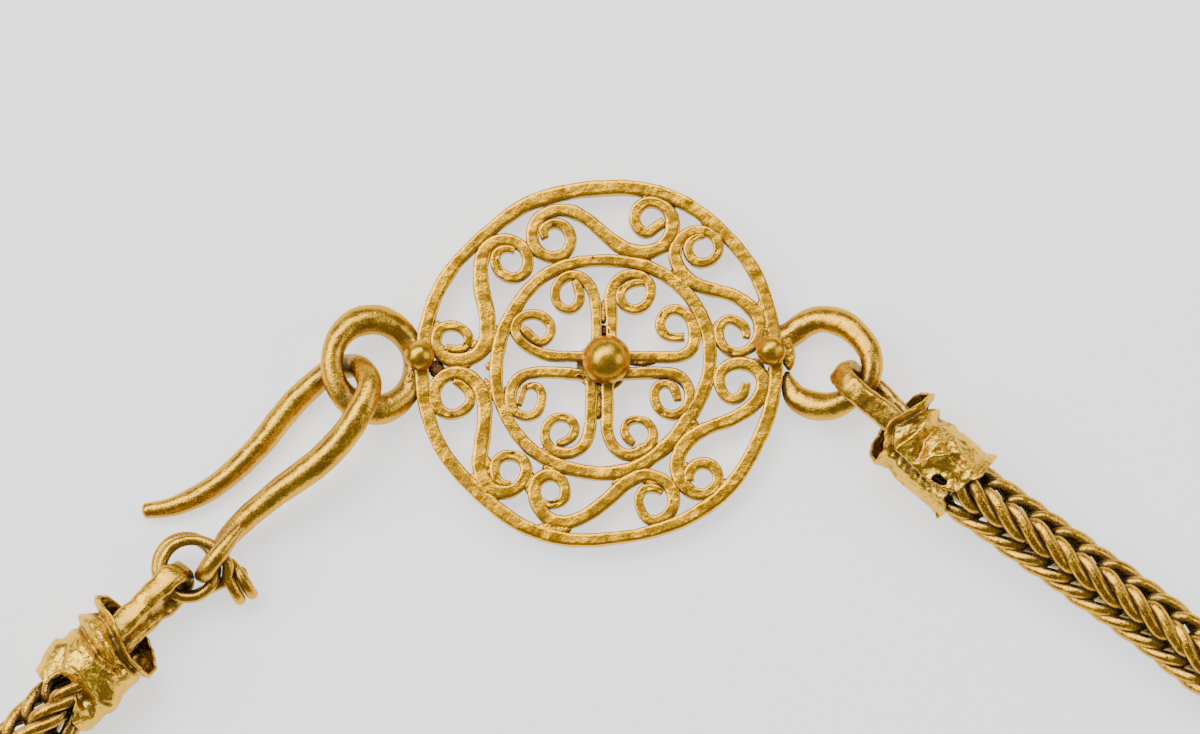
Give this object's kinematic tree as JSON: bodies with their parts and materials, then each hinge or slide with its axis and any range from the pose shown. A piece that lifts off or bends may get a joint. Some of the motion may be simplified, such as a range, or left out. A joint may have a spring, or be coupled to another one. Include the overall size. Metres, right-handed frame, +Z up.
{
  "type": "loop-in-loop chain necklace",
  "caption": "Ancient gold necklace lying flat: loop-in-loop wire chain with an openwork scroll medallion, hook clasp and sheet-gold end sleeves.",
  "frame": {"origin": "middle of the medallion on its underside, on the flat back of the plate behind the boss, which lies on the surface", "axes": "+Z up, out of the medallion's front; +Y from the chain's far bend towards the medallion; +X to the open loop's side, with the hook on the other side"},
  "size_m": [0.1441, 0.1577, 0.0063],
  "materials": {
    "gold_strip": "worn satin gold strip, soft edges, grainy solder and brown grime in the recesses",
    "gold_wire": "hammered gold wire, worn bright on top with fine pits and scratches",
    "gold_sheet": "thin crumpled gold sheet, satin with dents and pits",
    "gold_chain": "rolled-strip gold wire with long seams, orange-brown grime between the links"
  },
  "bodies": {
    "root": {"outer_band": "gold_strip", "inner_band": "gold_strip", "border_scroll_top": "gold_strip", "border_scroll_upper_right": "gold_strip", "border_scroll_lower_right": "gold_strip", "border_scroll_bottom": "gold_strip", "border_scroll_lower_left": "gold_strip", "border_scroll_upper_left": "gold_strip", "cross_scroll_upper_left": "gold_strip", "cross_scroll_upper_right": "gold_strip", "cross_scroll_lower_right": "gold_strip", "cross_scroll_lower_left": "gold_strip", "boss": "gold_strip", "boss_backing": "gold_strip", "left_bead": "gold_strip", "right_bead": "gold_strip", "left_ring": "gold_wire", "right_ring": "gold_wire", "hook": "gold_wire", "connecting_ring": "gold_wire", "left_eye": "gold_wire", "right_eye": "gold_wire", "left_sleeve": "gold_sheet", "right_sleeve": "gold_sheet", "chain": "gold_chain"}
  },
  "joints": []
}
